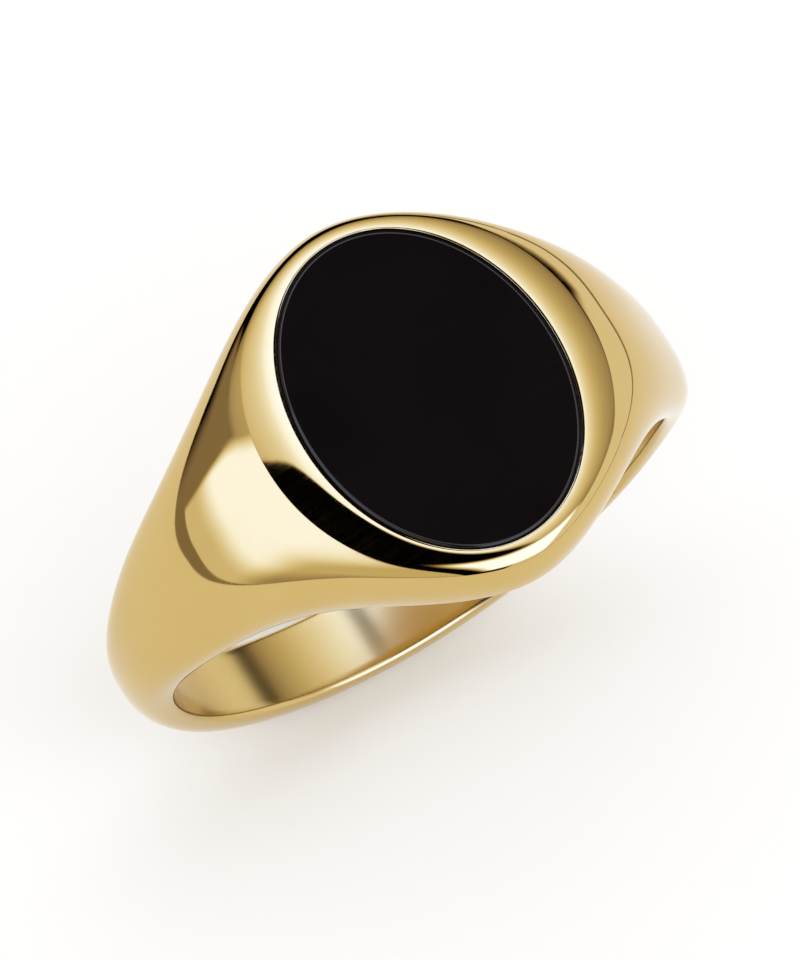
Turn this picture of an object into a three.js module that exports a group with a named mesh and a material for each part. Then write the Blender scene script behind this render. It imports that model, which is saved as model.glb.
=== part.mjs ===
// Signet ring with an inlaid onyx table, in millimetres.
//
// Frame: the ring stands on the lowest point of its band with the table up.
// +Z runs through the middle of the table, Y is the finger axis, X runs across the shoulders,
// and the origin is the point of the band that touches the ground.
//
// The gold is two pieces: the head with its shoulders, and the back shank that closes the circle.
// A thin wafer of solder joins them at each side. The onyx lies in an oval seat cut into the head,
// on a bed of cement.
import * as THREE from 'three';
import { mergeVertices } from 'three/addons/utils/BufferGeometryUtils.js';

// Driving dimensions -------------------------------------------------------------------------

const BORE_DIAMETER = 18.0;      // finger hole
const BORE_EDGE_RADIUS = 0.2;    // soft inner edge of the band, for comfort
const TABLE_ABOVE_BORE = 1.88;   // gold between the finger and the flat of the table

const SEAT_WIDTH = 8.9;          // oval seat for the stone, across the finger
const SEAT_LENGTH = 11.5;        // the same, along the finger
const STONE_CLEARANCE = 0.06;    // dark groove between the stone and the wall of its seat
const STONE_THICKNESS = 1.0;
const STONE_CHAMFER = 0.08;      // broken top edge of the stone
const CEMENT_THICKNESS = 0.12;
const CEMENT_SETBACK = 0.25;     // cement stops this far short of the seat's wall
const LAYER_CLEARANCE = 0.04;    // kept between stone and cement, and between cement and seat

const RIM_WIDTH_SIDE = 1.35;     // rolled rim round the stone, towards the shoulders
const RIM_WIDTH_END = 0.42;      // the same, at the two ends of the oval
const RIM_DROP_SIDE = 0.40;      // how far the rim has rolled down at its foot
const RIM_DROP_END = 0.12;
const RIM_EDGE_ROUND = 0.25;     // softness of the line where the rim meets the shoulder

const CROWN_POWER = 2.5;         // 2 is a half-round band, more is flatter on top

const FLANK_MARGIN = 0.5;        // gold outside the rim's foot at the two ends of the oval

// The blank that the ring is filed from has its head's stations tied to the table. The angle is a
// share of the half angle that the table takes up, the half width a share of the half width at the
// table, and the rise is the blank's height over the flat of the table before filing.
const HEAD_STATIONS = [
  { angleShare: 0, widthShare: 1, rise: 1.65 },
  { angleShare: 0.7, widthShare: 0.833, rise: 0.79 },
  { angleShare: 1.225, widthShare: 0.607, rise: -1.55 },
];

// Stations of the band: degrees round from the table, half width along the finger, thickness.
const BAND_STATIONS = [
  { angle: 50, halfWidth: 3.01, thickness: 2.02 },
  { angle: 70, halfWidth: 2.16, thickness: 1.51 },
  { angle: 90, halfWidth: 1.52, thickness: 1.41 },
  { angle: 120, halfWidth: 1.30, thickness: 1.25 },
  { angle: 150, halfWidth: 1.30, thickness: 1.65 },
  { angle: 180, halfWidth: 1.35, thickness: 1.70 },
];

const JOINT_ANGLE = 118;         // where the shoulders end and the back shank begins
const SOLDER_THICKNESS = 0.08;
const SOLDER_CLEARANCE = 0.03;   // kept on both faces of each solder wafer

// Mesh fineness
const CUT_STEPS = 12;            // across the crown, from one edge of the band to the other
const EDGE_STEPS = 34;           // along each edge of the head
const SHANK_STEPS = 28;          // round the back shank
const RIM_RINGS = [0, 0.35, 0.6, 0.8, 0.95, 1.08, 1.25];
const SHOULDER_RINGS = 9;
const CORNER_TURNS = [30, 60, 90];   // steps round the soft inner edge, in degrees
const ROOT_STEPS = 40;           // halvings that find a point on the rim's surface
const WELD = 1e-4;               // points closer than this are one corner

// Derived sizes ------------------------------------------------------------------------------

const RAD = Math.PI / 180;
const BORE = BORE_DIAMETER / 2;
const EDGE = BORE + BORE_EDGE_RADIUS;           // radius at which the outer crown springs
const TABLE = BORE + TABLE_ABOVE_BORE;          // height of the table over the finger axis
const SEAT_X = SEAT_WIDTH / 2;
const SEAT_Y = SEAT_LENGTH / 2;
const TABLE_ANGLE = Math.atan2(SEAT_X + RIM_WIDTH_SIDE, TABLE - RIM_DROP_SIDE);
const TABLE_HALF_WIDTH = SEAT_Y + RIM_WIDTH_END + FLANK_MARGIN;
const STATIONS = [...HEAD_STATIONS.map(headStation), ...BAND_STATIONS];
const FINGER_AXIS = BORE + STATIONS[STATIONS.length - 1].thickness;
const STONE_BOTTOM = TABLE - STONE_THICKNESS;
const CEMENT_TOP = STONE_BOTTOM - LAYER_CLEARANCE;
const CEMENT_BOTTOM = CEMENT_TOP - CEMENT_THICKNESS;
const SEAT_FLOOR = CEMENT_BOTTOM - LAYER_CLEARANCE;
const HEAD_REACH = 80 * RAD;                    // past this angle the rim is clear of the band
const COLUMNS = 2 * (CUT_STEPS + EDGE_STEPS);

// Station of the blank's head in the same terms as those of the band.
function headStation({ angleShare, widthShare, rise }) {
  const angle = angleShare * TABLE_ANGLE;
  const thickness = TABLE / Math.cos(angle) - BORE + rise;
  return { angle: angle / RAD, halfWidth: widthShare * TABLE_HALF_WIDTH, thickness };
}

// Smooth curve through the stations, level at the table and at the bottom of the band.
function stationCurve(key) {
  const x = STATIONS.map((s) => s.angle * RAD);
  const y = STATIONS.map((s) => s[key]);
  const last = x.length - 1;
  const slope = new Array(last + 1).fill(0);
  const sweep = new Array(last + 1).fill(0);
  for (let i = 1; i < last; i++) {
    const before = x[i] - x[i - 1];
    const after = x[i + 1] - x[i];
    const pull = 3 * ((y[i] - y[i - 1]) * after / before + (y[i + 1] - y[i]) * before / after);
    const pivot = 2 * (before + after) - after * sweep[i - 1];
    sweep[i] = before / pivot;
    slope[i] = (pull - after * slope[i - 1]) / pivot;
  }
  for (let i = last - 1; i > 0; i--) {
    slope[i] -= sweep[i] * slope[i + 1];
  }
  return (angle) => {
    const a = Math.PI - Math.abs(Math.PI - Math.abs(angle));
    let i = 0;
    while (i < last - 1 && a > x[i + 1]) {
      i++;
    }
    const span = x[i + 1] - x[i];
    const t = (a - x[i]) / span;
    const s = 1 - t;
    return y[i] * s * s * (1 + 2 * t) + y[i + 1] * t * t * (3 - 2 * t)
      + span * s * t * (slope[i] * s - slope[i + 1] * t);
  };
}

const halfWidthAt = stationCurve('halfWidth');
const thicknessAt = stationCurve('thickness');

// The band ------------------------------------------------------------------------------------

// A place on the gold is an angle round the finger axis, a place along the finger and a radius.
function bandPoint(angle, along, radius) {
  return new THREE.Vector3(radius * Math.sin(angle), along, FINGER_AXIS + radius * Math.cos(angle));
}

// Radius of the plain band's crown; across runs from -1 to 1 over its width.
function crownRadius(angle, across) {
  const arch = Math.pow(Math.max(0, 1 - Math.pow(Math.abs(across), CROWN_POWER)), 1 / CROWN_POWER);
  return EDGE + (thicknessAt(angle) - BORE_EDGE_RADIUS) * arch;
}

// A size that is one thing at the shoulders and another at the ends of the oval.
function mixRound(x, y, side, end) {
  const across = (x / SEAT_X) ** 2;
  const along = (y / SEAT_Y) ** 2;
  return (side * across + end * along) / (across + along);
}

// Height of the rim over the finger axis above a plan point. It is level at the stone, rolls down
// evenly to the foot of the rim and runs straight on from there.
function rimHeight(x, y) {
  const inner = Math.hypot(x / SEAT_X, y / SEAT_Y);
  const outer = Math.hypot(x / (SEAT_X + RIM_WIDTH_SIDE), y / (SEAT_Y + RIM_WIDTH_END));
  if (inner <= 1) {
    return TABLE;
  }
  const drop = mixRound(x, y, RIM_DROP_SIDE, RIM_DROP_END);
  if (outer < 1) {
    const place = (inner - 1) / (inner - outer);
    return TABLE - drop * place ** 2;
  }
  const slope = 2 * drop / mixRound(x, y, RIM_WIDTH_SIDE, RIM_WIDTH_END);
  return TABLE - drop - slope * Math.hypot(x, y) * (1 - 1 / outer);
}

// Radius at which a ray from the finger axis comes out of the rim.
function rimRadius(angle, along) {
  let low = BORE / 2;
  let high = 2 * TABLE;
  for (let i = 0; i < ROOT_STEPS; i++) {
    const radius = (low + high) / 2;
    if (radius * Math.cos(angle) < rimHeight(radius * Math.sin(angle), along)) {
      low = radius;
    } else {
      high = radius;
    }
  }
  return low;
}

// Outer radius of the gold: the blank's crown, filed down to the rim, with the line between them
// softened.
function goldRadius(angle, across) {
  const crown = crownRadius(angle, across);
  if (Math.abs(angle) > HEAD_REACH) {
    return crown;
  }
  const rim = rimRadius(angle, across * halfWidthAt(angle));
  const near = Math.max(RIM_EDGE_ROUND - Math.abs(rim - crown), 0) / RIM_EDGE_ROUND;
  return Math.min(rim, crown) - near ** 3 * RIM_EDGE_ROUND / 6;
}

function goldPoint(angle, across) {
  return bandPoint(angle, across * halfWidthAt(angle), goldRadius(angle, across));
}

// Points across the bore side of a section, from its -Y edge to its +Y edge, with soft corners.
function boreSection(angle) {
  const half = halfWidthAt(angle);
  const points = [goldPoint(angle, -1)];
  for (const turn of CORNER_TURNS) {
    const along = -half + BORE_EDGE_RADIUS * (1 - Math.cos(turn * RAD));
    points.push(bandPoint(angle, along, EDGE - BORE_EDGE_RADIUS * Math.sin(turn * RAD)));
  }
  const back = points.map((p) => new THREE.Vector3(p.x, -p.y, p.z)).reverse();
  return [...points, ...back];
}

// Points across the crown, from the -Y edge to the +Y edge, closer together near the edges.
function crownSteps() {
  const steps = [];
  for (let i = 0; i <= CUT_STEPS; i++) {
    steps.push(Math.sin((i / CUT_STEPS - 0.5) * Math.PI));
  }
  return steps;
}

// A whole section of the band as one closed loop, turning the same way at every angle.
function bandSection(angle) {
  const crown = crownSteps().map((across) => goldPoint(angle, across));
  const bore = boreSection(angle).slice(1, -1).reverse();
  return [...crown, ...bore];
}

// Mesh helpers --------------------------------------------------------------------------------

function solidFrom(triangles) {
  const positions = new Float32Array(triangles.length * 9);
  triangles.forEach((corners, i) => {
    corners.forEach((p, j) => positions.set([p.x, p.y, p.z], i * 9 + j * 3));
  });
  const geometry = new THREE.BufferGeometry();
  geometry.setAttribute('position', new THREE.BufferAttribute(positions, 3));
  const merged = mergeVertices(geometry, WELD);
  merged.computeVertexNormals();
  return merged;
}

// Skin between two rows of points of equal length.
function skin(rowA, rowB, closed, triangles) {
  const count = closed ? rowA.length : rowA.length - 1;
  for (let i = 0; i < count; i++) {
    const j = (i + 1) % rowA.length;
    triangles.push([rowA[i], rowA[j], rowB[j]], [rowA[i], rowB[j], rowB[i]]);
  }
}

// Flat cap over a closed loop, as a fan from its middle.
function fan(loop, triangles) {
  const middle = new THREE.Vector3();
  loop.forEach((p) => middle.addScaledVector(p, 1 / loop.length));
  loop.forEach((p, i) => triangles.push([middle, p, loop[(i + 1) % loop.length]]));
}

function ovalLoop(halfX, halfY, height) {
  const loop = [];
  for (let i = 0; i < COLUMNS; i++) {
    const turn = (i + 0.5) / COLUMNS * 2 * Math.PI;
    const z = FINGER_AXIS + height;
    loop.push(new THREE.Vector3(halfX * Math.cos(turn), halfY * Math.sin(turn), z));
  }
  return loop;
}

// Upright oval prism given by rising levels of { x, y, z } half sizes.
function ovalSolid(levels) {
  const triangles = [];
  const loops = levels.map((level) => ovalLoop(level.x, level.y, level.z));
  for (let i = 1; i < loops.length; i++) {
    skin(loops[i - 1], loops[i], true, triangles);
  }
  fan([...loops[0]].reverse(), triangles);
  fan(loops[loops.length - 1], triangles);
  return solidFrom(triangles);
}

// Pieces --------------------------------------------------------------------------------------

// Places round the border of the head's outer skin, as { angle, across }, starting on the +X cut
// and running the same way round as the oval of the seat.
function headBorder() {
  const end = JOINT_ANGLE * RAD;
  const steps = crownSteps();
  const border = [];
  for (const side of [1, -1]) {
    for (let i = 0; i < CUT_STEPS; i++) {
      border.push({ angle: side * end, across: side * steps[i] });
    }
    for (let i = 0; i < EDGE_STEPS; i++) {
      border.push({ angle: side * end * (1 - 2 * i / EDGE_STEPS), across: side });
    }
  }
  return border;
}

function signetHead() {
  const triangles = [];
  const border = headBorder();
  const turnOf = (i) => (i - CUT_STEPS / 2) / COLUMNS * 2 * Math.PI;

  // Outer skin: rings that follow the rim, then rings that open out to the edges of the band.
  const rings = RIM_RINGS.map((place) => border.map((_, i) => {
    const x = (SEAT_X + RIM_WIDTH_SIDE * place) * Math.cos(turnOf(i));
    const y = (SEAT_Y + RIM_WIDTH_END * place) * Math.sin(turnOf(i));
    const angle = Math.atan2(x, rimHeight(x, y));
    return { angle, across: y / halfWidthAt(angle) };
  }));
  const lastRim = rings[rings.length - 1];
  for (let ring = 1; ring <= SHOULDER_RINGS; ring++) {
    const t = ring / SHOULDER_RINGS;
    rings.push(border.map((goal, i) => ({
      angle: THREE.MathUtils.lerp(lastRim[i].angle, goal.angle, t),
      across: THREE.MathUtils.lerp(lastRim[i].across, goal.across, t),
    })));
  }
  const loops = rings.map((ring) => ring.map((place) => goldPoint(place.angle, place.across)));
  for (let i = 1; i < loops.length; i++) {
    skin(loops[i], loops[i - 1], true, triangles);
  }

  // Seat for the stone: an upright oval wall and a flat floor.
  const mouth = loops[0];
  const floor = mouth.map((p) => new THREE.Vector3(p.x, p.y, FINGER_AXIS + SEAT_FLOOR));
  skin(mouth, floor, true, triangles);
  fan(floor, triangles);

  // Bore side of the head, and the two faces that are soldered to the back shank.
  const rows = [];
  for (let i = 0; i <= EDGE_STEPS; i++) {
    rows.push(boreSection(JOINT_ANGLE * RAD * (2 * i / EDGE_STEPS - 1)));
  }
  for (let i = 1; i < rows.length; i++) {
    skin(rows[i - 1], rows[i], false, triangles);
  }
  fan(bandSection(JOINT_ANGLE * RAD).reverse(), triangles);
  fan(bandSection(-JOINT_ANGLE * RAD), triangles);
  return solidFrom(triangles);
}

// A length of band swept from one angle to another, closed at both ends.
function bandLength(from, to, steps) {
  const triangles = [];
  const sections = [];
  for (let i = 0; i <= steps; i++) {
    sections.push(bandSection(from + (to - from) * i / steps));
  }
  for (let i = 1; i <= steps; i++) {
    skin(sections[i], sections[i - 1], true, triangles);
  }
  fan(sections[0], triangles);
  fan([...sections[steps]].reverse(), triangles);
  return solidFrom(triangles);
}

// Angle taken up by a length measured round the middle of the band.
function angleOf(length) {
  return length / (BORE + thicknessAt(JOINT_ANGLE * RAD) / 2);
}

const SOLDER_FROM = JOINT_ANGLE * RAD + angleOf(SOLDER_CLEARANCE);
const SOLDER_TO = SOLDER_FROM + angleOf(SOLDER_THICKNESS);
const SHANK_FROM = SOLDER_TO + angleOf(SOLDER_CLEARANCE);

function backShank() {
  return bandLength(SHANK_FROM, 2 * Math.PI - SHANK_FROM, SHANK_STEPS);
}

function onyxTablet() {
  const x = SEAT_X - STONE_CLEARANCE;
  const y = SEAT_Y - STONE_CLEARANCE;
  return ovalSolid([
    { x, y, z: STONE_BOTTOM },
    { x, y, z: TABLE - STONE_CHAMFER },
    { x: x - STONE_CHAMFER, y: y - STONE_CHAMFER, z: TABLE },
  ]);
}

function cementBed() {
  const x = SEAT_X - CEMENT_SETBACK;
  const y = SEAT_Y - CEMENT_SETBACK;
  return ovalSolid([{ x, y, z: CEMENT_BOTTOM }, { x, y, z: CEMENT_TOP }]);
}

// Assembly ------------------------------------------------------------------------------------

function material(color, roughness, metalness) {
  return new THREE.MeshStandardMaterial({ color, roughness, metalness });
}

const ring = new THREE.Group();

function addPiece(name, geometry, finish) {
  const mesh = new THREE.Mesh(geometry, finish);
  mesh.name = name;
  ring.add(mesh);
}

addPiece('signet_head', signetHead(), material(0xd9b25f, 0.12, 1));
addPiece('back_shank', backShank(), material(0xd9b25f, 0.12, 1));
addPiece('solder_seam_right', bandLength(SOLDER_FROM, SOLDER_TO, 1), material(0xe0c27a, 0.2, 1));
addPiece('solder_seam_left', bandLength(-SOLDER_TO, -SOLDER_FROM, 1), material(0xe0c27a, 0.2, 1));
addPiece('cement_bed', cementBed(), material(0x24211f, 0.7, 0));
addPiece('onyx_tablet', onyxTablet(), material(0x0b0a0b, 0.08, 0));

export default ring;
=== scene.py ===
import math

import bpy
import numpy as np
from mathutils import Matrix, Vector


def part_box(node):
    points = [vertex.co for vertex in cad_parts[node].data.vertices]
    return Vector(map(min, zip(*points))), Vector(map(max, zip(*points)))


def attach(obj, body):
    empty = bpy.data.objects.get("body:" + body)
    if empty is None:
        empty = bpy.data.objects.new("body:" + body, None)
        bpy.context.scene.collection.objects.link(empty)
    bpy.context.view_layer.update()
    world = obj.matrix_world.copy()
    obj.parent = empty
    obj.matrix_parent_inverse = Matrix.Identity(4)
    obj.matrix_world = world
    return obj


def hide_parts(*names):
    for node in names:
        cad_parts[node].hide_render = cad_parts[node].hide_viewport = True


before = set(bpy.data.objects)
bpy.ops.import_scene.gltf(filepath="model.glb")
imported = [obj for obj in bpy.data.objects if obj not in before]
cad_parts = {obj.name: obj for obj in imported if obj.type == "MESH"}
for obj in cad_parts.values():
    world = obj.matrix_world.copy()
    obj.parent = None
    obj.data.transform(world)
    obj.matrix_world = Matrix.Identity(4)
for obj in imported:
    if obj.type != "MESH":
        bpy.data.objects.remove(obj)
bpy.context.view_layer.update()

# A gold signet ring with a flat oval onyx let into its table, standing on the lowest point of its
# band. X runs across the shoulders, Y along the finger and Z up through the table.
# Sizes are in millimetres and are turned into metres when a mesh is made.

MM = 0.001
STONE_LOW, STONE_HIGH = (np.array(corner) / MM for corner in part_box("onyx_tablet"))
BED_LOW = np.array(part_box("cement_bed")[0]) / MM
TABLE_HALF_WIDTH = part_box("signet_head")[1][1] / MM


# Sizes of the ring --------------------------------------------------------------------------------

BORE = 9.0                            # radius of the finger hole
BORE_EDGE = 0.2                       # soft inner edge of the band
TABLE = 10.88                         # height of the table over the finger axis
FINGER_AXIS = STONE_HIGH[2] - TABLE   # height of the finger axis over the ground

STONE_CLEARANCE = 0.06                # dark groove between the stone and the wall of its seat
STONE_CHAMFER = 0.07                  # broken top edge of the stone
SEAT_X = STONE_HIGH[0] + STONE_CLEARANCE
SEAT_Y = STONE_HIGH[1] + STONE_CLEARANCE
LAYER_CLEARANCE = 0.04                # between the cement and the floor of the seat
SEAT_FLOOR = BED_LOW[2] - LAYER_CLEARANCE - FINGER_AXIS
MOUTH_EDGE = 0.03                     # tiny round where the seat opens onto the rim

RIM_WIDTH = (1.35, 0.42)              # rolled rim, at the shoulders and at the oval's ends
RIM_DROP = (0.40, 0.12)               # how far it has rolled down at its foot
EDGE_ROUND = 0.25                     # softness of the line where the rim meets the shoulder
CROWN_POWER = 2.5                     # 2 is a half-round band, more is flatter on top

TABLE_ANGLE = math.atan2(SEAT_X + RIM_WIDTH[0], TABLE - RIM_DROP[0])


def head_station(angle_share, width_share, rise):
    """Station of the blank's head, tied to the table: a share of the table's angle, a share of its
    half width, and the blank's height over the flat of the table before filing."""
    angle = angle_share * TABLE_ANGLE
    blank = TABLE / math.cos(angle) - BORE + rise
    return math.degrees(angle), width_share * TABLE_HALF_WIDTH, blank


# Stations of the blank: degrees from the table, half width along the finger, thickness.
STATIONS = (
    head_station(0, 1, 1.65),
    head_station(0.7, 0.833, 0.79),
    head_station(1.225, 0.607, -1.55),
    (50, 3.01, 2.02),
    (70, 2.16, 1.51),
    (90, 1.52, 1.41),
    (120, 1.30, 1.25),
    (150, 1.30, 1.65),
    (180, 1.35, FINGER_AXIS - BORE),
)
JOINT = math.radians(118)             # where the shoulders end and the back shank begins
SEAM = 0.2                            # length of the solder seam round the band

HAIRLINE = 0.004                      # kept between the cement, the gold and the stone
CEMENT_WALL = 0.05                    # cement that rises round the stone, into the groove
CEMENT_DEPTH = 0.16                   # how far below the table it stops
CEMENT_LIP = 0.01                     # how much lower its inner side stands


# The surface of the gold --------------------------------------------------------------------------


def station_curve(column):
    """Smooth curve through one column of the stations, level at the table and at the bottom."""
    x = np.radians([row[0] for row in STATIONS])
    y = np.array([row[column] for row in STATIONS])
    step = np.diff(x)
    rise = np.diff(y) / step
    count = len(x)
    system = np.eye(count)
    target = np.zeros(count)
    for i in range(1, count - 1):
        system[i, i - 1] = step[i]
        system[i, i] = 2 * (step[i - 1] + step[i])
        system[i, i + 1] = step[i - 1]
        target[i] = 3 * (rise[i - 1] * step[i] + rise[i] * step[i - 1])
    slope = np.linalg.solve(system, target)

    def curve(angle):
        a = np.pi - np.abs(np.pi - np.abs(angle))
        i = np.clip(np.searchsorted(x, a) - 1, 0, count - 2)
        t = (a - x[i]) / step[i]
        s = 1 - t
        ends = y[i] * s * s * (1 + 2 * t) + y[i + 1] * t * t * (3 - 2 * t)
        return ends + step[i] * s * t * (slope[i] * s - slope[i + 1] * t)

    return curve


half_width = station_curve(1)
thickness = station_curve(2)          # of the blank; the table and its rim are filed out of it
HEAD_REACH = math.radians(80)         # past this angle the rim's surface is clear of the band
ROOT_STEPS = 44                       # halvings that find a point on the rim's surface
TINY = 1e-12                          # keeps a division finite in the middle of the oval


def round_mix(x, y, sizes):
    """A size that is one thing at the shoulders and another at the ends of the oval."""
    across = (x / SEAT_X) ** 2
    along = (y / SEAT_Y) ** 2
    return (sizes[0] * across + sizes[1] * along) / np.maximum(across + along, TINY)


def rim_height(x, y):
    """Height of the rolled rim over the finger axis, above a plan point. It rolls down evenly to
    its foot and runs straight on from there."""
    inner = np.hypot(x / SEAT_X, y / SEAT_Y)
    outer = np.hypot(x / (SEAT_X + RIM_WIDTH[0]), y / (SEAT_Y + RIM_WIDTH[1]))
    place = (inner - 1) / np.maximum(inner - outer, TINY)
    drop = round_mix(x, y, RIM_DROP)
    slope = 2 * drop / round_mix(x, y, RIM_WIDTH)
    past = np.hypot(x, y) * (1 - 1 / np.maximum(outer, TINY))
    return TABLE - np.where(place < 1, drop * np.clip(place, 0, 1) ** 2, drop + slope * past)


def gold_point(angle, across):
    """Point of the outer skin at an angle round the finger and a place from -1 to 1 across it."""
    angle, across = np.broadcast_arrays(np.asarray(angle, float), np.asarray(across, float))
    along = across * half_width(angle)
    arch = np.maximum(0, 1 - np.abs(across) ** CROWN_POWER) ** (1 / CROWN_POWER)
    crown = BORE + BORE_EDGE + (thickness(angle) - BORE_EDGE) * arch
    sin, cos = np.sin(angle), np.cos(angle)
    low, high = np.full(crown.shape, BORE / 2), np.full(crown.shape, 2 * TABLE)
    for _ in range(ROOT_STEPS):
        middle = (low + high) / 2
        inside = middle * cos < rim_height(middle * sin, along)
        low, high = np.where(inside, middle, low), np.where(inside, high, middle)
    near = np.maximum(EDGE_ROUND - np.abs(low - crown), 0) / EDGE_ROUND
    filed = np.minimum(low, crown) - near ** 3 * EDGE_ROUND / 6
    radius = np.where(np.abs(angle) < HEAD_REACH, filed, crown)
    return np.stack([radius * sin, along, FINGER_AXIS + radius * cos], -1)


def bore_point(angle, side, turn):
    """Point of the soft inner edge: turn 0 is on the flank, a quarter turn is on the bore."""
    angle, turn = np.broadcast_arrays(np.asarray(angle, float), np.asarray(turn, float))
    along = side * (half_width(angle) - BORE_EDGE * (1 - np.cos(turn)))
    radius = BORE + BORE_EDGE * (1 - np.sin(turn))
    return np.stack([radius * np.sin(angle), along, FINGER_AXIS + radius * np.cos(angle)], -1)


# Modelling helpers --------------------------------------------------------------------------------


def lerp(a, b, t):
    return a + (b - a) * t


def drawn_out_ball(name, loops):
    """A ball whose rings are drawn out to the given loops of points, first loop at its foot."""
    loops = np.asarray(loops) * MM
    rings, segments = loops.shape[0], loops.shape[1]
    bpy.ops.object.select_all(action="DESELECT")
    bpy.ops.mesh.primitive_uv_sphere_add(segments=segments, ring_count=rings + 1, radius=1)
    ball = bpy.context.object
    ball.name = ball.data.name = name
    flat = np.empty(len(ball.data.vertices) * 3)
    ball.data.vertices.foreach_get("co", flat)
    co = flat.reshape(-1, 3)
    ring = np.rint((np.arcsin(np.clip(co[:, 2], -1, 1)) / np.pi + 0.5) * (rings + 1)).astype(int) - 1
    turn = np.arctan2(co[:, 1], co[:, 0]) / (2 * np.pi) * segments
    column = np.rint(turn).astype(int) % segments
    placed = loops[np.clip(ring, 0, rings - 1), column]
    placed[ring < 0] = loops[0].mean(axis=0)
    placed[ring >= rings] = loops[-1].mean(axis=0)
    ball.data.vertices.foreach_set("co", placed.ravel())
    ball.data.update()
    return ball


REAL_CORNER = math.radians(35)        # faces that meet more sharply than this show an edge


def face_outwards(piece):
    """Normals outwards, shaded smooth but for real corners."""
    bpy.ops.object.select_all(action="DESELECT")
    piece.select_set(True)
    bpy.context.view_layer.objects.active = piece
    bpy.ops.object.mode_set(mode="EDIT")
    bpy.ops.mesh.select_all(action="SELECT")
    bpy.ops.mesh.normals_make_consistent(inside=False)
    bpy.ops.object.mode_set(mode="OBJECT")
    bpy.ops.object.shade_smooth_by_angle(angle=REAL_CORNER)


# Pieces -------------------------------------------------------------------------------------------

FULL_TURN = 2 * math.pi
CUT_STEPS = 60            # columns of the head's mesh over each joint face
EDGE_STEPS = 200          # columns along each edge of the band
SHOULDER_RINGS = 70       # rings from the rim's foot to the edges of the band
HEAD_BORE_RINGS = 60      # rings from the edges of the band to the middle of the bore
BAND_BORE_STEPS = 11      # steps across the bore in a section of the plain band
SHANK_STEPS = 150         # sections round the back shank
SEAM_STEPS = 2
COLUMNS = 2 * (CUT_STEPS + EDGE_STEPS)
COLUMN_TURN = (np.arange(COLUMNS) - CUT_STEPS / 2) / COLUMNS * FULL_TURN
EDGE_TURNS = np.radians([15, 30, 45, 60, 75, 90])
MOUTH_TURNS = np.radians([0, 30, 60])

# Places across the rim, 0 at the seat and 1 at the foot, closer together where it turns down.
RIM_PLACES = np.concatenate([np.linspace(MOUTH_EDGE / RIM_WIDTH[1], 0.8, 14),
                             np.linspace(0.82, 1.3, 34)])
CAP_RINGS = (0.5, 0.999)  # rings on a flat end, as shares of its outline


def cut_steps(count):
    """Places from -1 to 1 across the band, closer together near its edges."""
    return np.sin((np.arange(count + 1) / count - 0.5) * np.pi)


def oval(half_x, half_y, height):
    level = np.full(COLUMNS, FINGER_AXIS + height)
    return np.stack([half_x * np.cos(COLUMN_TURN), half_y * np.sin(COLUMN_TURN), level], -1)


def make_head():
    """Head and shoulders: from the seat's floor out over the rim and shoulders, round the edges
    of the band, and in over the bore."""
    across = cut_steps(CUT_STEPS)[:-1]
    edge = np.linspace(1, -1, EDGE_STEPS + 1)[:-1]
    ones = np.ones(EDGE_STEPS)
    end_angle = np.concatenate([across * 0 + JOINT, edge * JOINT, across * 0 - JOINT, -edge * JOINT])
    end_across = np.concatenate([across, ones, -across, -ones])
    on_cut = np.concatenate([across * 0 + 1, ones * 0, across * 0 + 1, ones * 0]).astype(bool)

    loops = [oval(SEAT_X * t, SEAT_Y * t, SEAT_FLOOR) for t in (0.5, 1)]
    for turn in MOUTH_TURNS:
        out = MOUTH_EDGE * (1 - math.cos(turn))
        down = MOUTH_EDGE * (1 - math.sin(turn))
        loops.append(oval(SEAT_X + out, SEAT_Y + out, TABLE - down))

    # Rim: rings that keep the shape of the oval.
    for place in RIM_PLACES:
        x = (SEAT_X + RIM_WIDTH[0] * place) * np.cos(COLUMN_TURN)
        y = (SEAT_Y + RIM_WIDTH[1] * place) * np.sin(COLUMN_TURN)
        angle = np.arctan2(x, TABLE - round_mix(x, y, RIM_DROP) * place ** 2)
        loops.append(gold_point(angle, y / half_width(angle)))
    start_angle, start_across = angle, y / half_width(angle)

    # Shoulders: rings that open out to the joint faces and the edges of the band.
    for t in np.linspace(0, 1, SHOULDER_RINGS + 1)[1:]:
        loops.append(gold_point(lerp(start_angle, end_angle, t), lerp(start_across, end_across, t)))

    # Down the joint faces and round the inner edges, on to the bore.
    flank = loops[-1]
    side = np.sign(end_across)
    reach = half_width(JOINT) - BORE_EDGE
    for turn in EDGE_TURNS:
        round_edge = bore_point(end_angle, side, turn)
        along = np.clip(flank[:, 1], -reach, reach)
        foot = np.stack([BORE * np.sin(end_angle), along, FINGER_AXIS + BORE * np.cos(end_angle)], -1)
        loops.append(np.where(on_cut[:, None], lerp(flank, foot, turn / EDGE_TURNS[-1]), round_edge))
    border = loops[-1]
    for t in np.linspace(1, 0, HEAD_BORE_RINGS + 1)[1:-1]:
        angle = end_angle * t
        bore = [BORE * np.sin(angle), border[:, 1] * t, FINGER_AXIS + BORE * np.cos(angle)]
        loops.append(np.stack(bore, -1))
    return drawn_out_ball("head_and_shoulders", loops)


def band_section(angle):
    """One closed section of the plain band."""
    crown = gold_point(angle, cut_steps(CUT_STEPS))
    far = bore_point(angle, 1, EDGE_TURNS)
    near = bore_point(angle, -1, EDGE_TURNS[::-1])
    bore = [lerp(far[-1], near[0], t) for t in np.linspace(0, 1, BAND_BORE_STEPS + 1)[1:-1]]
    return np.concatenate([crown, far, bore, near])


def make_band(name, start, end, steps):
    """A length of the plain band from one angle to another, closed at both ends."""
    sections = [band_section(angle) for angle in np.linspace(start, end, steps + 1)]
    caps = [[lerp(s.mean(axis=0), s, t) for t in CAP_RINGS] for s in (sections[0], sections[-1])]
    return drawn_out_ball(name, caps[0] + sections + caps[1][::-1])


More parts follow.
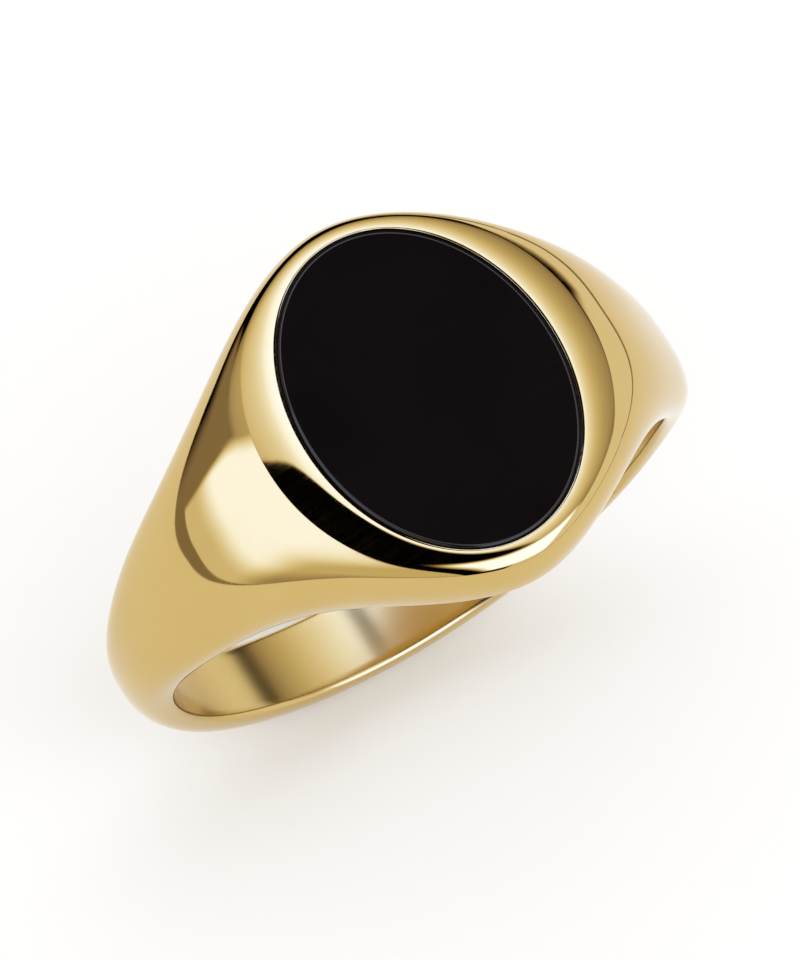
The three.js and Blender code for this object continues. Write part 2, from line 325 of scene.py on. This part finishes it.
CORNER_ROUND = 0.012      # each corner of the stone's chamfer is rounded over this length
CORNER_INSET = 0.003      # how far inside the sharp corner the middle of the round stays
LEVEL_RING = 0.04         # a ring this far in from the chamfer keeps the top's shading level


def make_stone():
    """Flat oval stone with a finely broken upper edge."""
    x, y = STONE_HIGH[0], STONE_HIGH[1]
    bottom = STONE_LOW[2] - FINGER_AXIS
    cut = STONE_CHAMFER
    loops = [oval(x * t, y * t, bottom) for t in (*CAP_RINGS, 1)]
    for down, inset in ((cut + CORNER_ROUND, 0), (cut, CORNER_INSET), (cut - CORNER_ROUND, CORNER_ROUND),
                        (CORNER_ROUND, cut - CORNER_ROUND), (CORNER_INSET, cut),
                        (0, cut + CORNER_ROUND), (0, cut + LEVEL_RING)):
        loops.append(oval(x - inset, y - inset, TABLE - down))
    loops += [oval(x * t, y * t, TABLE) for t in (0.9, 0.6, 0.3)]
    return drawn_out_ball("onyx_inlay", loops)


def make_cement():
    """Tray of cement under the stone, with a thin wall that rises round it into the groove."""
    x, y = SEAT_X - HAIRLINE, SEAT_Y - HAIRLINE
    inner_x, inner_y = x - CEMENT_WALL, y - CEMENT_WALL
    top = TABLE - CEMENT_DEPTH
    tray = STONE_LOW[2] - FINGER_AXIS - HAIRLINE
    loops = [oval(x * t, y * t, SEAT_FLOOR + HAIRLINE) for t in (0.5, 1)]
    loops += [oval(x, y, top), oval(inner_x, inner_y, top - CEMENT_LIP)]
    loops += [oval(inner_x, inner_y, tray), oval(x / 2, y / 2, tray)]
    return drawn_out_ball("cement_line", loops)


# Materials ----------------------------------------------------------------------------------------


def noise_effect(name, stretch, detail, spread):
    """Shared effect laid on the piece itself: noise as a height, and a soft mask that follows it.
    Scale is per metre, and the stretch draws the noise out along X, Y and Z."""
    group = bpy.data.node_groups.new(name, "ShaderNodeTree")
    group.interface.new_socket("Scale", in_out="INPUT", socket_type="NodeSocketFloat")
    for label in ("Mask", "Height"):
        group.interface.new_socket(label, in_out="OUTPUT", socket_type="NodeSocketFloat")
    enter = group.nodes.new("NodeGroupInput")
    leave = group.nodes.new("NodeGroupOutput")
    place = group.nodes.new("ShaderNodeTexCoord")
    drawn = group.nodes.new("ShaderNodeMapping")
    drawn.inputs["Scale"].default_value = stretch
    noise = group.nodes.new("ShaderNodeTexNoise")
    noise.inputs["Detail"].default_value = detail
    mask = group.nodes.new("ShaderNodeMapRange")
    mask.interpolation_type = "SMOOTHSTEP"
    mask.inputs["From Min"].default_value = 0.5 - spread
    mask.inputs["From Max"].default_value = 0.5 + spread
    for source, target in ((place.outputs["Object"], drawn.inputs["Vector"]),
                           (drawn.outputs["Vector"], noise.inputs["Vector"]),
                           (enter.outputs["Scale"], noise.inputs["Scale"]),
                           (noise.outputs["Fac"], mask.inputs["Value"]),
                           (mask.outputs["Result"], leave.inputs["Mask"]),
                           (noise.outputs["Fac"], leave.inputs["Height"])):
        group.links.new(source, target)
    return group


HANDLING_HAZE = noise_effect("handling_haze", (1, 1, 1), 3, 0.14)
POLISHING_LINES = noise_effect("polishing_lines", (0.1, 9, 0.1), 2, 0.2)
SURFACE_GRAIN = noise_effect("surface_grain", (1, 1, 1), 6, 0.25)
MICRON = 1e-6


def effect(tree, group, scale):
    node = tree.nodes.new("ShaderNodeGroup")
    node.node_tree = group
    node.inputs["Scale"].default_value = scale
    return node


def finished(name, tones, metallic, roughness, haze_scale, marks, marks_scale, wave, relief):
    """Material whose tone and roughness wander between two values with a handling haze. Marks are
    lines or grain; the wave and the relief are heights in microns."""
    material = bpy.data.materials.new(name)
    material.use_nodes = True
    tree = material.node_tree
    shader = tree.nodes["Principled BSDF"]
    shader.inputs["Metallic"].default_value = metallic
    haze = effect(tree, HANDLING_HAZE, haze_scale)
    mark = effect(tree, marks, marks_scale)

    tone = tree.nodes.new("ShaderNodeMix")
    tone.data_type = "RGBA"
    tone.inputs["A"].default_value = (*tones[0], 1)
    tone.inputs["B"].default_value = (*tones[1], 1)
    tree.links.new(haze.outputs["Mask"], tone.inputs["Factor"])
    tree.links.new(tone.outputs["Result"], shader.inputs["Base Color"])

    worn = tree.nodes.new("ShaderNodeMath")
    worn.operation = "MULTIPLY"
    tree.links.new(haze.outputs["Mask"], worn.inputs[0])
    tree.links.new(mark.outputs["Mask"], worn.inputs[1])
    gloss = tree.nodes.new("ShaderNodeMapRange")
    gloss.inputs["To Min"].default_value = roughness[0]
    gloss.inputs["To Max"].default_value = roughness[1]
    tree.links.new(worn.outputs[0], gloss.inputs["Value"])
    tree.links.new(gloss.outputs["Result"], shader.inputs["Roughness"])

    swell = tree.nodes.new("ShaderNodeMath")
    swell.operation = "MULTIPLY"
    swell.inputs[1].default_value = wave
    tree.links.new(haze.outputs["Height"], swell.inputs[0])
    height = tree.nodes.new("ShaderNodeMath")
    height.operation = "MULTIPLY_ADD"
    height.inputs[1].default_value = relief
    tree.links.new(mark.outputs["Height"], height.inputs[0])
    tree.links.new(swell.outputs[0], height.inputs[2])
    bump = tree.nodes.new("ShaderNodeBump")
    bump.inputs["Distance"].default_value = MICRON
    tree.links.new(height.outputs[0], bump.inputs["Height"])
    tree.links.new(bump.outputs["Normal"], shader.inputs["Normal"])
    return material


BORE_ROUGHNESS = 0.18
BORE_SKIN = 0.02          # how far over the bore's radius the satin is at its full strength


def leave_bore_satin(material):
    """Roughens the bore, left satin from the emery stick. A point is on the bore when it is a bore's
    radius from the finger axis."""
    tree = material.node_tree
    shader = tree.nodes["Principled BSDF"]
    polish = shader.inputs["Roughness"].links[0].from_socket
    place = tree.nodes.new("ShaderNodeTexCoord")
    flat = tree.nodes.new("ShaderNodeVectorMath")
    flat.operation = "MULTIPLY"
    flat.inputs[1].default_value = (1, 0, 1)
    from_axis = tree.nodes.new("ShaderNodeVectorMath")
    from_axis.operation = "DISTANCE"
    from_axis.inputs[1].default_value = (0, 0, FINGER_AXIS * MM)
    satin = tree.nodes.new("ShaderNodeMapRange")
    satin.inputs["From Min"].default_value = (BORE + BORE_SKIN) * MM
    satin.inputs["From Max"].default_value = (BORE + BORE_EDGE) * MM
    satin.inputs["To Min"].default_value = BORE_ROUGHNESS
    satin.inputs["To Max"].default_value = 0
    rougher = tree.nodes.new("ShaderNodeMath")
    rougher.operation = "MAXIMUM"
    for source, target in ((place.outputs["Object"], flat.inputs[0]),
                           (flat.outputs["Vector"], from_axis.inputs[0]),
                           (from_axis.outputs["Value"], satin.inputs["Value"]),
                           (polish, rougher.inputs[0]),
                           (satin.outputs["Result"], rougher.inputs[1]),
                           (rougher.outputs[0], shader.inputs["Roughness"])):
        tree.links.new(source, target)


def polished_gold():
    """18 ct yellow gold off the mop, with the faintest lines running round the band."""
    material = finished("polished_gold", tones=((0.615, 0.435, 0.152), (0.63, 0.452, 0.166)),
                        metallic=1, roughness=(0.03, 0.085), haze_scale=320,
                        marks=POLISHING_LINES, marks_scale=1100, wave=1.6, relief=0.05)
    leave_bore_satin(material)
    return material


def gold_solder():
    """Hard solder, a shade paler than the gold and very slightly pitted."""
    return finished("gold_solder", tones=((0.60, 0.44, 0.17), (0.65, 0.48, 0.21)),
                    metallic=1, roughness=(0.06, 0.16), haze_scale=900,
                    marks=SURFACE_GRAIN, marks_scale=6000, wave=1.0, relief=0.6)


def black_onyx():
    """Flat lapped onyx, with its gloss tinted warm."""
    material = finished("black_onyx", tones=((0.0055, 0.0040, 0.0043), (0.0064, 0.0048, 0.0050)),
                        metallic=0, roughness=(0.025, 0.06), haze_scale=260,
                        marks=POLISHING_LINES, marks_scale=900, wave=0.5, relief=0.03)
    shader = material.node_tree.nodes["Principled BSDF"]
    shader.inputs["Specular Tint"].default_value = (1, 0.8, 0.5, 1)
    return material


def black_cement():
    """Set epoxy, dull and grainy, seen only as the dark line round the stone."""
    return finished("black_cement", tones=((0.002, 0.002, 0.002), (0.006, 0.005, 0.004)),
                    metallic=0, roughness=(0.6, 0.9), haze_scale=700,
                    marks=SURFACE_GRAIN, marks_scale=5000, wave=4, relief=6)


def dress(piece, material, slot, *nodes):
    """Gives a piece its material, hangs it from the root body and hides the nodes of the model that it
    stands for.
    """
    piece.data.materials.clear()
    piece.data.materials.append(material)
    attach(piece, "root")
    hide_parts(*nodes)


# Assembly -----------------------------------------------------------------------------------------

gold = polished_gold()
solder = gold_solder()
onyx = black_onyx()
cement = black_cement()

SEAM_TURN = SEAM / (BORE + thickness(JOINT) / 2)
SHANK_FROM = JOINT + SEAM_TURN
PIECES = (
    (make_head(), gold, "polished_gold", "signet_head"),
    (make_band("shank", SHANK_FROM, FULL_TURN - SHANK_FROM, SHANK_STEPS),
     gold, "polished_gold", "back_shank"),
    (make_band("seam_right", JOINT, SHANK_FROM, SEAM_STEPS),
     solder, "gold_solder", "solder_seam_right"),
    (make_band("seam_left", -SHANK_FROM, -JOINT, SEAM_STEPS),
     solder, "gold_solder", "solder_seam_left"),
    (make_stone(), onyx, "black_onyx", "onyx_tablet"),
    (make_cement(), cement, "black_cement", "cement_bed"),
)
for piece, material, slot, node in PIECES:
    face_outwards(piece)
    dress(piece, material, slot, node)


# Stage --------------------------------------------------------------------------------------------

FLOOR_RADIUS = 0.112                  # metres, as is its centre
FLOOR_CENTRE = (0.030, -0.060, 0)
FLOOR_SIDES = 96
FLOOR_WHITE = 0.97


def add_floor():
    """Round pale card, which reaches furthest on the near side and to the right."""
    bpy.ops.object.select_all(action="DESELECT")
    bpy.ops.mesh.primitive_circle_add(vertices=FLOOR_SIDES, radius=FLOOR_RADIUS, fill_type="NGON",
                                      location=FLOOR_CENTRE)
    floor = bpy.context.object
    floor.name = "floor"
    card = bpy.data.materials.new("pale_card")
    card.use_nodes = True
    shader = card.node_tree.nodes["Principled BSDF"]
    shader.inputs["Base Color"].default_value = (FLOOR_WHITE, FLOOR_WHITE, FLOOR_WHITE, 1)
    shader.inputs["Roughness"].default_value = 1
    floor.data.materials.append(card)


CAMERA_TILT = (-0.2903, 0.2971, 0.5715)   # radians about X, Y and Z
CAMERA_DISTANCE = 473.3                   # millimetres from the finger axis
CENTRE_OFFSET = (-0.155, -1.353)          # millimetres that the ring stands off the lens's axis
LENS = 554.4
CLIP = (0.01, 10)                         # metres; nothing nearer or further is shown


def add_camera():
    rx, ry, rz = CAMERA_TILT
    turn = Matrix.Rotation(rz, 3, "Z") @ Matrix.Rotation(rx, 3, "X") @ Matrix.Rotation(ry, 3, "Y")
    data = bpy.data.cameras.new("camera")
    camera = bpy.data.objects.new("camera", data)
    bpy.context.scene.collection.objects.link(camera)
    back = turn.transposed()
    offset = Vector((-CENTRE_OFFSET[0], -CENTRE_OFFSET[1], CAMERA_DISTANCE))
    place = Vector((0, 0, FINGER_AXIS)) + back @ offset
    camera.matrix_world = Matrix.Translation(place * MM) @ back.to_4x4()
    data.lens = LENS
    data.clip_start, data.clip_end = CLIP
    bpy.context.scene.camera = camera


# Studio -------------------------------------------------------------------------------------------
#
# The light is laid out on a round plan of the studio as the ring sees it: the point overhead is in
# the middle, the horizon is the circle of radius 1, +u is +X and +v is +Y.


NADIR_GUARD = 1.0001      # keeps the plan finite straight down


class Studio:
    """Builds the studio's light with math nodes on the plan coordinates u and v."""

    def __init__(self):
        world = bpy.data.worlds.new("studio")
        bpy.context.scene.world = world
        world.use_nodes = True
        self.tree = world.node_tree
        place = self.tree.nodes.new("ShaderNodeTexCoord")
        split = self.tree.nodes.new("ShaderNodeSeparateXYZ")
        self.tree.links.new(place.outputs["Generated"], split.inputs[0])
        lift = self.math("ADD", split.outputs["Z"], NADIR_GUARD)
        self.u = self.math("DIVIDE", split.outputs["X"], lift)
        self.v = self.math("DIVIDE", split.outputs["Y"], lift)
        self.z = split.outputs["Z"]

    def math(self, operation, *values):
        """A math node on sockets or plain numbers."""
        node = self.tree.nodes.new("ShaderNodeMath")
        node.operation = operation
        for socket, value in zip(node.inputs, values):
            if isinstance(value, bpy.types.NodeSocket):
                self.tree.links.new(value, socket)
            else:
                socket.default_value = value
        return node.outputs[0]

    def fade(self, value, start, end, low=0.0, high=1.0):
        """A smooth run from low to high as the value goes from start to end."""
        node = self.tree.nodes.new("ShaderNodeMapRange")
        node.interpolation_type = "SMOOTHSTEP"
        self.tree.links.new(value, node.inputs["Value"])
        for name, number in (("From Min", start), ("From Max", end), ("To Min", low), ("To Max", high)):
            node.inputs[name].default_value = number
        return node.outputs["Result"]

    def along(self, turn, offset_u, offset_v):
        """Distance from a point, measured in a direction turned from +u by so many radians."""
        du = self.math("SUBTRACT", self.u, offset_u)
        dv = self.math("SUBTRACT", self.v, offset_v)
        part_u = self.math("MULTIPLY", du, math.cos(turn))
        part_v = self.math("MULTIPLY", dv, math.sin(turn))
        return self.math("ADD", part_u, part_v)

    def times(self, first, *others):
        """Product of sockets and plain numbers."""
        for other in others:
            first = self.math("MULTIPLY", first, other)
        return first

    def side(self, point, turn, blur):
        """1 behind a straight edge through a point, fading to 0 over the blur in front of it. The
        turn is the way the edge faces, in degrees."""
        return self.fade(self.along(math.radians(turn), *point), 0, blur, 1, 0)

    def panel(self, centre, half, blur):
        """1 on a rectangular panel, fading to 0 over the blur outside its edges."""
        off_u = self.math("ABSOLUTE", self.math("SUBTRACT", self.u, centre[0]))
        off_v = self.math("ABSOLUTE", self.math("SUBTRACT", self.v, centre[1]))
        inside_u = self.fade(off_u, half[0], half[0] + blur, 1, 0)
        inside_v = self.fade(off_v, half[1], half[1] + blur, 1, 0)
        return self.math("MULTIPLY", inside_u, inside_v)

    def spread(self, centre, half):
        """Distance from a centre, 1 at the edge of an oval."""
        across = self.math("DIVIDE", self.math("SUBTRACT", self.u, centre[0]), half[0])
        along = self.math("DIVIDE", self.math("SUBTRACT", self.v, centre[1]), half[1])
        squares = self.math("ADD", self.math("MULTIPLY", across, across),
                            self.math("MULTIPLY", along, along))
        return self.math("SQRT", squares)

    def curve(self, value, points):
        """A smooth curve through points from 0 to 1 on both sides."""
        node = self.tree.nodes.new("ShaderNodeFloatCurve")
        self.tree.links.new(value, node.inputs["Value"])
        curve = node.mapping.curves[0]
        curve.points[0].location = points[0]
        curve.points[1].location = points[-1]
        for point in points[1:-1]:
            curve.points.new(*point)
        node.mapping.update()
        return node.outputs["Value"]


# Brightness of each light, where 1 shows as full white.
SOFTBOX = 2.3
CARD = 2.0
WALL = 0.29
RIGHT_GLOW = 1.1
NEAR_BOX = 2.3
FLOOR_EDGE = 0.28
ROOM_WHITE = 1.10

# How the softbox dims from its middle, 0, to its rim, 1.
SOFTBOX_FALL = ((0, 0.97), (0.2, 0.88), (0.35, 0.68), (0.6, 0.42), (0.75, 0.30), (0.92, 0.16), (1, 0))

FLAG_CORNER = (0.0, 0.09)
STONE_MIRRORS = (0.146, 0.149)        # where the flat stone mirrors the plan to the camera
UNLIMITED = 6                         # brighter than any light, so it holds nothing back


def softbox_light(studio):
    """Softbox over the table, with a black flag beside the lens that cuts it off along two
    straight edges."""
    glow = studio.curve(studio.spread((0.08, 0.21), (0.62, 0.72)), SOFTBOX_FALL)
    flag = studio.times(studio.side(FLAG_CORNER, 72, 0.012), studio.side(FLAG_CORNER, 23, 0.06),
                        studio.side((-0.34, 0), 180, 0.01), studio.side((0, -0.38), -90, 0.15))
    return studio.times(glow, SOFTBOX, studio.math("SUBTRACT", 1, flag))


def card_light(studio):
    """Big card on the left, brightest opposite the shoulder, dimmer low down and on the near side."""
    return studio.times(studio.side((-0.36, 0), 0, 0.02), studio.side((-0.42, 0.25), 65, 0.10), CARD,
                        studio.fade(studio.v, -0.45, -0.02, 0.42, 1),
                        studio.fade(studio.z, -0.24, -0.03, 0.5, 1))


def wall_light(studio):
    """Dim wall behind the card."""
    return studio.times(studio.side((-0.40, 0), 0, 0.07), studio.side((-0.42, 0.22), 245, 0.05),
                        studio.side((0, 0.85), 90, 0.5), WALL)


def right_light(studio):
    """Glow on the right, behind a dark gap with two straight edges."""
    lit = studio.math("MAXIMUM", studio.side((0.90, 0.3), 198, 0.06),
                      studio.side((0.88, 0.3), 149, 0.06))
    return studio.times(lit, RIGHT_GLOW)


def near_light(studio):
    """Small low softbox at the near side."""
    return studio.times(studio.panel((0.14, -0.62), (0.24, 0.28), 0.12), NEAR_BOX)


def floor_edge(studio):
    """Most light that comes from low down, where the dark edge of the floor's card shows. The card
    reaches further on the near side and to the right, so its edge is higher there."""
    lean = studio.times(studio.along(math.radians(-45), 0, 0), 0.094)
    height = studio.math("SUBTRACT", studio.z, lean)
    return studio.fade(height, -0.196, -0.187, FLOOR_EDGE, UNLIMITED)


def light_studio():
    """Polished pieces mirror the studio's lights; the camera and dull pieces see a white room."""
    studio = Studio()
    total = softbox_light(studio)
    for light in (card_light, wall_light, right_light, near_light):
        total = studio.math("MAXIMUM", total, light(studio))
    # A small black disc just where the flat stone mirrors it, so that the stone reads black.
    disc = studio.fade(studio.spread(STONE_MIRRORS, (0.035, 0.035)), 0.9, 1.1)
    total = studio.times(total, disc)
    total = studio.math("MINIMUM", total, floor_edge(studio))

    # Dim light is warm and bright light is cool, as polished gold shows them.
    warm = studio.math("MINIMUM", studio.math("POWER", total, 0.65), studio.math("POWER", total, 0.86))
    cool = studio.math("MAXIMUM", studio.math("POWER", total, 2.05), studio.times(total, 0.85))
    combine = studio.tree.nodes.new("ShaderNodeCombineColor")
    for name, channel in (("Red", warm), ("Green", total), ("Blue", cool)):
        studio.tree.links.new(channel, combine.inputs[name])
    rays = studio.tree.nodes.new("ShaderNodeLightPath")
    mix = studio.tree.nodes.new("ShaderNodeMix")
    mix.data_type = "RGBA"
    mix.inputs["A"].default_value = (ROOM_WHITE, ROOM_WHITE, ROOM_WHITE, 1)
    background = studio.tree.nodes["Background"]
    for source, target in ((rays.outputs["Is Glossy Ray"], mix.inputs["Factor"]),
                           (combine.outputs["Color"], mix.inputs["B"]),
                           (mix.outputs["Result"], background.inputs["Color"])):
        studio.tree.links.new(source, target)
    bpy.context.scene.view_settings.view_transform = "Standard"


add_floor()
add_camera()
light_studio()
